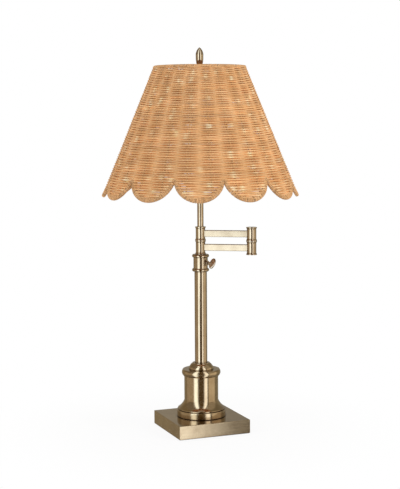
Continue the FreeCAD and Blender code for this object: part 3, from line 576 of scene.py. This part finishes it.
class Shader:
    """Short names for building a node tree."""

    def __init__(self, name):
        self.material = bpy.data.materials.new(name)
        self.material.use_nodes = True
        self.tree = self.material.node_tree
        self.principled = self.tree.nodes["Principled BSDF"]
        self.surface = self.tree.nodes["Material Output"].inputs["Surface"]

    def node(self, kind, **settings):
        made = self.tree.nodes.new(kind)
        for key, value in settings.items():
            setattr(made, key, value)
        return made

    def link(self, start, end):
        self.tree.links.new(start, end)

    def set(self, **values):
        for key, value in values.items():
            self.principled.inputs[key.replace("_", " ")].default_value = value

    def feed(self, **outputs):
        for key, output in outputs.items():
            self.link(output, self.principled.inputs[key.replace("_", " ")])

    def noise(self, scale, fineness=EVEN, detail=3.0, roughness=0.55):
        """A noise over object coordinates, which may be finer along some axes."""
        place = self.node("ShaderNodeTexCoord")
        mapping = self.node("ShaderNodeMapping")
        mapping.inputs["Scale"].default_value = fineness
        self.link(place.outputs["Object"], mapping.inputs["Vector"])
        texture = self.node("ShaderNodeTexNoise")
        texture.inputs["Scale"].default_value = scale
        texture.inputs["Detail"].default_value = detail
        texture.inputs["Roughness"].default_value = roughness
        self.link(mapping.outputs["Vector"], texture.inputs["Vector"])
        return texture.outputs["Fac"]

    def ramp(self, factor, stops):
        ramp = self.node("ShaderNodeValToRGB")
        elements = ramp.color_ramp.elements
        while len(elements) < len(stops):
            elements.new(0.5)
        for element, (place, colour) in zip(elements, stops):
            element.position = place
            element.color = (*colour, 1)
        self.link(factor, ramp.inputs["Fac"])
        return ramp.outputs["Color"]

    def span(self, value, low, high):
        """A 0 to 1 value spread over another range."""
        spread = self.node("ShaderNodeMapRange")
        spread.inputs["To Min"].default_value = low
        spread.inputs["To Max"].default_value = high
        self.link(value, spread.inputs["Value"])
        return spread.outputs["Result"]

    def times(self, colour, *factors):
        """A colour, which may be three numbers, multiplied by other colours."""
        for factor in factors:
            mixer = self.node("ShaderNodeMix", data_type="RGBA", blend_type="MULTIPLY")
            mixer.inputs[MIX_FACTOR].default_value = 1.0
            if hasattr(colour, "is_output"):
                self.link(colour, mixer.inputs[MIX_FIRST])
            else:
                mixer.inputs[MIX_FIRST].default_value = (*colour, 1)
            self.link(factor, mixer.inputs[MIX_SECOND])
            colour = mixer.outputs[MIX_RESULT]
        return colour

    def bump(self, height, strength, distance):
        bump = self.node("ShaderNodeBump")
        bump.inputs["Strength"].default_value = strength
        bump.inputs["Distance"].default_value = distance
        self.link(height, bump.inputs["Height"])
        self.feed(Normal=bump.outputs["Normal"])


def brass(name, colour, roughness, brush):
    """Antique brass, brushed: fine lines, a mottled brown patina, painted shade and tarnish in corners,
    satin lacquer.
    """
    made = Shader(name)
    made.set(Metallic=1.0, Coat_Weight=0.5, Coat_Roughness=0.12)
    lines = made.noise(1.0, brush, detail=4.0, roughness=0.7)
    patina = made.ramp(made.noise(BRASS_MOTTLE, detail=4.0), BRASS_PATINA)
    streak = made.ramp(lines, BRASS_STREAK)
    # Darker in closed corners: painted shade, with some tarnish
    corners = made.node("ShaderNodeAmbientOcclusion", samples=CORNER_SAMPLES)
    corners.inputs["Distance"].default_value = CORNER_REACH
    tarnish_and_shade = made.ramp(corners.outputs["AO"], BRASS_TARNISH_AND_SHADE)
    made.feed(Base_Color=made.times(colour, patina, tarnish_and_shade, streak),
              Roughness=made.span(lines, *(roughness + more for more in BRASS_ROUGHER)))
    made.bump(lines, *BRASS_RELIEF)
    return made.material


def plain(name, colour, roughness, metallic=0.0, grain=400.0, depth=0.00003, vary=0.12):
    """A moulded, cast or plated surface with a fine grain and a slight change of tone."""
    made = Shader(name)
    made.set(Metallic=metallic)
    grainy = made.noise(grain, detail=5.0)
    tones = [[min(1, part * (1 + change)) for part in colour] for change in (-vary, vary)]
    made.feed(Base_Color=made.ramp(made.noise(PLAIN_MOTTLE), tuple(zip(PLAIN_PLACES, tones))),
              Roughness=made.span(grainy, *(roughness + more for more in PLAIN_ROUGHER)))
    made.bump(grainy, PLAIN_RELIEF, depth)
    return made.material


def rattan(name, colour):
    """Peeled reed: honey tan with fibre streaks, reddish nodes and a dull waxy sheen."""
    made = Shader(name)
    tint = made.node("ShaderNodeAttribute", attribute_name="tint")
    fibre = made.noise(1.0, FIBRES, detail=4.0, roughness=0.65)
    patch = made.ramp(made.noise(REED_MOTTLE), REED_PATCH)
    made.feed(Base_Color=made.times(colour, tint.outputs["Color"], made.ramp(fibre, REED_STREAK), patch),
              Roughness=made.span(fibre, *REED_ROUGHNESS))
    made.bump(fibre, *REED_RELIEF)
    return made.material


def frosted_bulb():
    """White coated glass: opaque to the eye, with a soft gloss."""
    made = Shader("frosted_bulb")
    cloud = made.noise(BULB_MOTTLE)
    made.feed(Base_Color=made.ramp(cloud, BULB_CLOUD), Roughness=made.span(cloud, *BULB_ROUGHNESS))
    return made.material


materials = {
    "base_brass": brass("brass_base", (0.42, 0.312, 0.185), 0.15, LEVEL),
    "pedestal_brass": brass("brass_pedestal", (0.42, 0.312, 0.185), 0.15, TURNED),
    "turned_brass": brass("brass_turned", (0.41, 0.31, 0.195), 0.11, TURNED),
    "arm_brass": brass("brass_arm", (0.43, 0.325, 0.205), 0.14, LEVEL),
    "fitting_brass": brass("brass_fitting", (0.60, 0.505, 0.39), 0.34, TURNED),
    "socket_brass": brass("brass_socket", (0.66, 0.50, 0.27), 0.30, TURNED),
    "contact_brass": plain("brass_contact", (0.72, 0.55, 0.28), 0.25, 1.0),
    "cast_iron": plain("iron", (0.05, 0.048, 0.045), 0.62, 0.7, grain=900.0, depth=0.0002),
    "felt": plain("felt", (0.045, 0.035, 0.028), 0.9, grain=1500.0, depth=0.0003, vary=0.3),
    "bushing_plastic": plain("bushing", (0.03, 0.028, 0.026), 0.55),
    "plated_steel": plain("plated_steel", (0.62, 0.61, 0.58), 0.32, 1.0),
    "frame_wire": plain("frame_wire", (0.62, 0.55, 0.44), 0.45),
    "nylon": plain("nylon", (0.78, 0.75, 0.68), 0.5),
    "insulator_card": plain("insulator", (0.33, 0.25, 0.17), 0.75, grain=700.0, depth=0.0001),
    "moulded_black": plain("moulded_black", (0.022, 0.020, 0.019), 0.35),
    "bulb_cap": plain("bulb_cap", (0.78, 0.78, 0.79), 0.22, 1.0),
    "frosted_glass": frosted_bulb(),
    "rattan_reed": rattan("rattan_reed", (0.762, 0.45, 0.209)),
    "rattan_binding": rattan("rattan_binding", (0.70, 0.41, 0.19)),
    "rattan_stake": rattan("rattan_stake", (0.52, 0.27, 0.10)),
}


def dress_frame():
    """Each node of the frame gets the material of its slot."""
    slots = {part["node"]: part["material_slot"] for part in frame["record"]["subparts"]}
    for name, node in nodes.items():
        node.data.materials.clear()
        node.data.materials.append(materials[slots[name]])


def dress(piece, slot, *replaced):
    """A new piece gets a slot's material and stands for nodes of the frame."""
    piece.data.materials.append(materials[slot])
    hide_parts(*replaced)


def disc_corners(radius, height):
    """Corners of a level disc round the Z axis."""
    turns = [2 * math.pi * number / DISC_CORNERS for number in range(DISC_CORNERS)]
    return [(radius * math.cos(turn), radius * math.sin(turn), height) for turn in turns]


def studio_point(degrees_right, distance, height):
    """A point round the lamp, by its angle to the right of the camera."""
    turn = math.radians(CAMERA_AZIMUTH + degrees_right)
    return distance * math.cos(turn), distance * math.sin(turn), height


def build_floor():
    """White disc that keeps the lamp's soft shadow and fades into the white background."""
    mesh = bpy.data.meshes.new("floor")
    mesh.from_pydata(disc_corners(FLOOR_RADIUS, FLOOR_TOP), [], [tuple(range(DISC_CORNERS))])
    floor = placed("floor", mesh)
    made = Shader("floor")
    made.set(Roughness=0.9, Base_Color=PALE_GREY)
    place = made.node("ShaderNodeTexCoord")
    reach = made.node("ShaderNodeVectorMath", operation="LENGTH")
    made.link(place.outputs["Object"], reach.inputs[0])
    fade = made.node("ShaderNodeMapRange", interpolation_type="SMOOTHSTEP")
    for key, share in zip(("From Min", "From Max"), FLOOR_FADE):
        fade.inputs[key].default_value = share * FLOOR_RADIUS
    fade.inputs["To Min"].default_value = FLOOR_WHITE_SHARE
    made.link(reach.outputs["Value"], fade.inputs["Value"])
    share = made.node("ShaderNodeMath", operation="MULTIPLY")
    made.link(fade.outputs["Result"], share.inputs[0])
    made.link(background_rays(made.tree), share.inputs[1])
    glow = made.node("ShaderNodeEmission")
    mixer = made.node("ShaderNodeMixShader")
    made.link(share.outputs["Value"], mixer.inputs["Fac"])
    made.link(made.principled.outputs["BSDF"], mixer.inputs[1])
    made.link(glow.outputs["Emission"], mixer.inputs[2])
    made.link(mixer.outputs["Shader"], made.surface)
    made.material.cycles.emission_sampling = "NONE"
    mesh.materials.append(made.material)


def background_rays(tree):
    """1 for the rays that see the white background: from the camera, off gloss and through glass."""
    rays = tree.nodes.new("ShaderNodeLightPath")
    seen = rays.outputs["Is Camera Ray"]
    for kind in ("Is Glossy Ray", "Is Transmission Ray"):
        either = tree.nodes.new("ShaderNodeMath")
        either.operation = "MAXIMUM"
        tree.links.new(seen, either.inputs[0])
        tree.links.new(rays.outputs[kind], either.inputs[1])
        seen = either.outputs["Value"]
    return seen


def build_world():
    """White behind the lamp and in its metal, and a plain level of light all round."""
    world = bpy.data.worlds.new("studio")
    bpy.context.scene.world = world
    world.use_nodes = True
    tree = world.node_tree
    light = tree.nodes["Background"]
    light.inputs["Color"].default_value = WHITE
    light.inputs["Strength"].default_value = WORLD_LEVEL
    white = tree.nodes.new("ShaderNodeBackground")
    white.inputs["Color"].default_value = WHITE
    white.inputs["Strength"].default_value = 1.0
    both = tree.nodes.new("ShaderNodeMixShader")
    tree.links.new(background_rays(tree), both.inputs["Fac"])
    tree.links.new(light.outputs["Background"], both.inputs[1])
    tree.links.new(white.outputs["Background"], both.inputs[2])
    tree.links.new(both.outputs["Shader"], tree.nodes["World Output"].inputs["Surface"])


def seen_in_metal(name, corners, faces, material):
    """A piece of the studio that only the metal sees."""
    mesh = bpy.data.meshes.new(name)
    mesh.from_pydata(corners, [], faces)
    mesh.materials.append(material)
    card = placed(name, mesh)
    card.visible_camera = card.visible_diffuse = card.visible_transmission = False
    card.visible_shadow = card.visible_volume_scatter = False
    return card


def glowing(name, corners, faces, levels):
    """A card that glows by the level at each of its corners."""
    made = Shader(name)
    glow = made.node("ShaderNodeEmission")
    level = made.node("ShaderNodeAttribute", attribute_name="level")
    made.link(level.outputs["Color"], glow.inputs["Color"])
    made.link(glow.outputs["Emission"], made.surface)
    made.tree.nodes.remove(made.principled)
    made.material.cycles.emission_sampling = "NONE"
    card = seen_in_metal(name, corners, faces, made.material)
    colours = card.data.color_attributes.new("level", "FLOAT_COLOR", "POINT")
    colours.data.foreach_set("color", [value for level in levels for value in (*level, 1)])


def card_columns():
    """The ring of cards as columns: angle at the foot and at the bend, level below and above."""
    columns = []
    for number, (_, foot, high, soft, level, share) in enumerate(CARDS):
        before, before_share = CARDS[number - 1][4:]
        wide = FOOT_SOFTER * soft
        columns.append((foot - wide, high - soft, before, [before_share * part for part in before]))
        columns.append((foot + wide, high + soft, level, [share * part for part in level]))
    foot, high, *levels = columns[0]
    return columns + [(foot + 360, high + 360, *levels)]


def build_cards():
    """A ring of cards that stand round the lamp."""
    corners, levels = [], []
    columns = card_columns()
    # Each row: its height, how far its columns have bent, and the entry of a column that gives its level
    rows = ((0, 0, 2), (CARD_BEND, 1, 2), (CARD_FADE[0], 1, 2), (CARD_FADE[1], 1, 3), (CARD_TOP, 1, 3))
    for column, after in zip(columns, columns[1:]):
        steps = max(1, math.ceil((after[1] - column[1]) / CARD_STEP))
        for share in np.arange(steps) / steps:
            here = [np.asarray(a) + (np.asarray(b) - np.asarray(a)) * share for a, b in zip(column, after)]
            for height, bent, entry in rows:
                corners.append(studio_point(here[0] + (here[1] - here[0]) * bent, CARD_DISTANCE, height))
                levels.append(here[entry])
    total, tall = len(corners), len(rows)
    faces = [(n + part, (n + tall) % total + part, (n + tall) % total + part + 1, n + part + 1)
             for n in range(0, total, tall) for part in range(tall - 1)]
    glowing("cards", corners, faces, levels)


def build_arm_card():
    """The low card that the arms mirror, from the left box's level to the level of the gap."""
    corners, levels = [], []
    box, gap = (np.array(card[4]) for card in CARDS if card[0] in ("left_box", "gap"))
    for angle, low, high in ARM_CARD:
        for height, share in zip(ARM_CARD_HEIGHTS, (low, low, high)):
            corners.append(studio_point(angle, CARD_DISTANCE - ARM_CARD_NEARER, height))
            levels.append(gap + (box - gap) * share)
    glowing("arm_card", corners, [(n, n + 3, n + 4, n + 1) for n in (0, 1, 3, 4)], levels)


def build_table_polish():
    """The polish of the table top, which doubles the cards in the metal."""
    made = Shader("table_polish")
    made.set(Metallic=1.0, Roughness=0.04, Base_Color=PALE_GREY)
    corners = disc_corners(CARD_DISTANCE, POLISH_HEIGHT)
    seen_in_metal("table_polish", corners, [tuple(range(DISC_CORNERS))], made.material)


def soft_light(name, degrees_right, radiance):
    """A large soft lamp that isn't seen in the metal."""
    light = bpy.data.lights.new(name, "AREA")
    light.shape = "RECTANGLE"
    light.size, light.size_y = LIGHT_SIZE
    light.energy = radiance * math.pi * LIGHT_SIZE[0] * LIGHT_SIZE[1]
    lamp = placed(name, light)
    lamp.location = studio_point(degrees_right, LIGHT_DISTANCE, LIGHT_HEIGHT)
    lamp.rotation_euler = (LIGHT_AIM - lamp.location).to_track_quat("-Z", "Y").to_euler()
    lamp.visible_glossy = False
    lamp.visible_camera = False


def build_camera():
    """The photograph's camera."""
    data = bpy.data.cameras.new("camera")
    data.sensor_fit = "HORIZONTAL"
    data.sensor_width = SENSOR_WIDTH
    data.lens = data.sensor_width * FOCAL_PIXELS / IMAGE_WIDTH
    camera = placed("camera", data)
    look = Matrix.Rotation(math.radians(CAMERA_AZIMUTH + 90 + CAMERA_ASIDE), 4, "Z")
    look = look @ Matrix.Rotation(math.radians(90 - CAMERA_PITCH), 4, "X")
    look = look @ Matrix.Rotation(math.radians(CAMERA_ROLL), 4, "Z")
    camera.matrix_world = Matrix.Translation(CAMERA_PLACE) @ look
    bpy.context.scene.camera = camera


build_camera()
build_world()
build_floor()
build_cards()
build_arm_card()
build_table_polish()
for light in LIGHTS:
    soft_light(*light)
dress_frame()
dress(build_weave(), "rattan_reed", "shade_weave")
dress(build_stakes(), "rattan_stake", "shade_stakes")
dress(build_hem(), "rattan_binding", "hem_border")
dress(build_top_binding(), "rattan_binding", "top_border")
bpy.context.scene.view_settings.view_transform = "Standard"
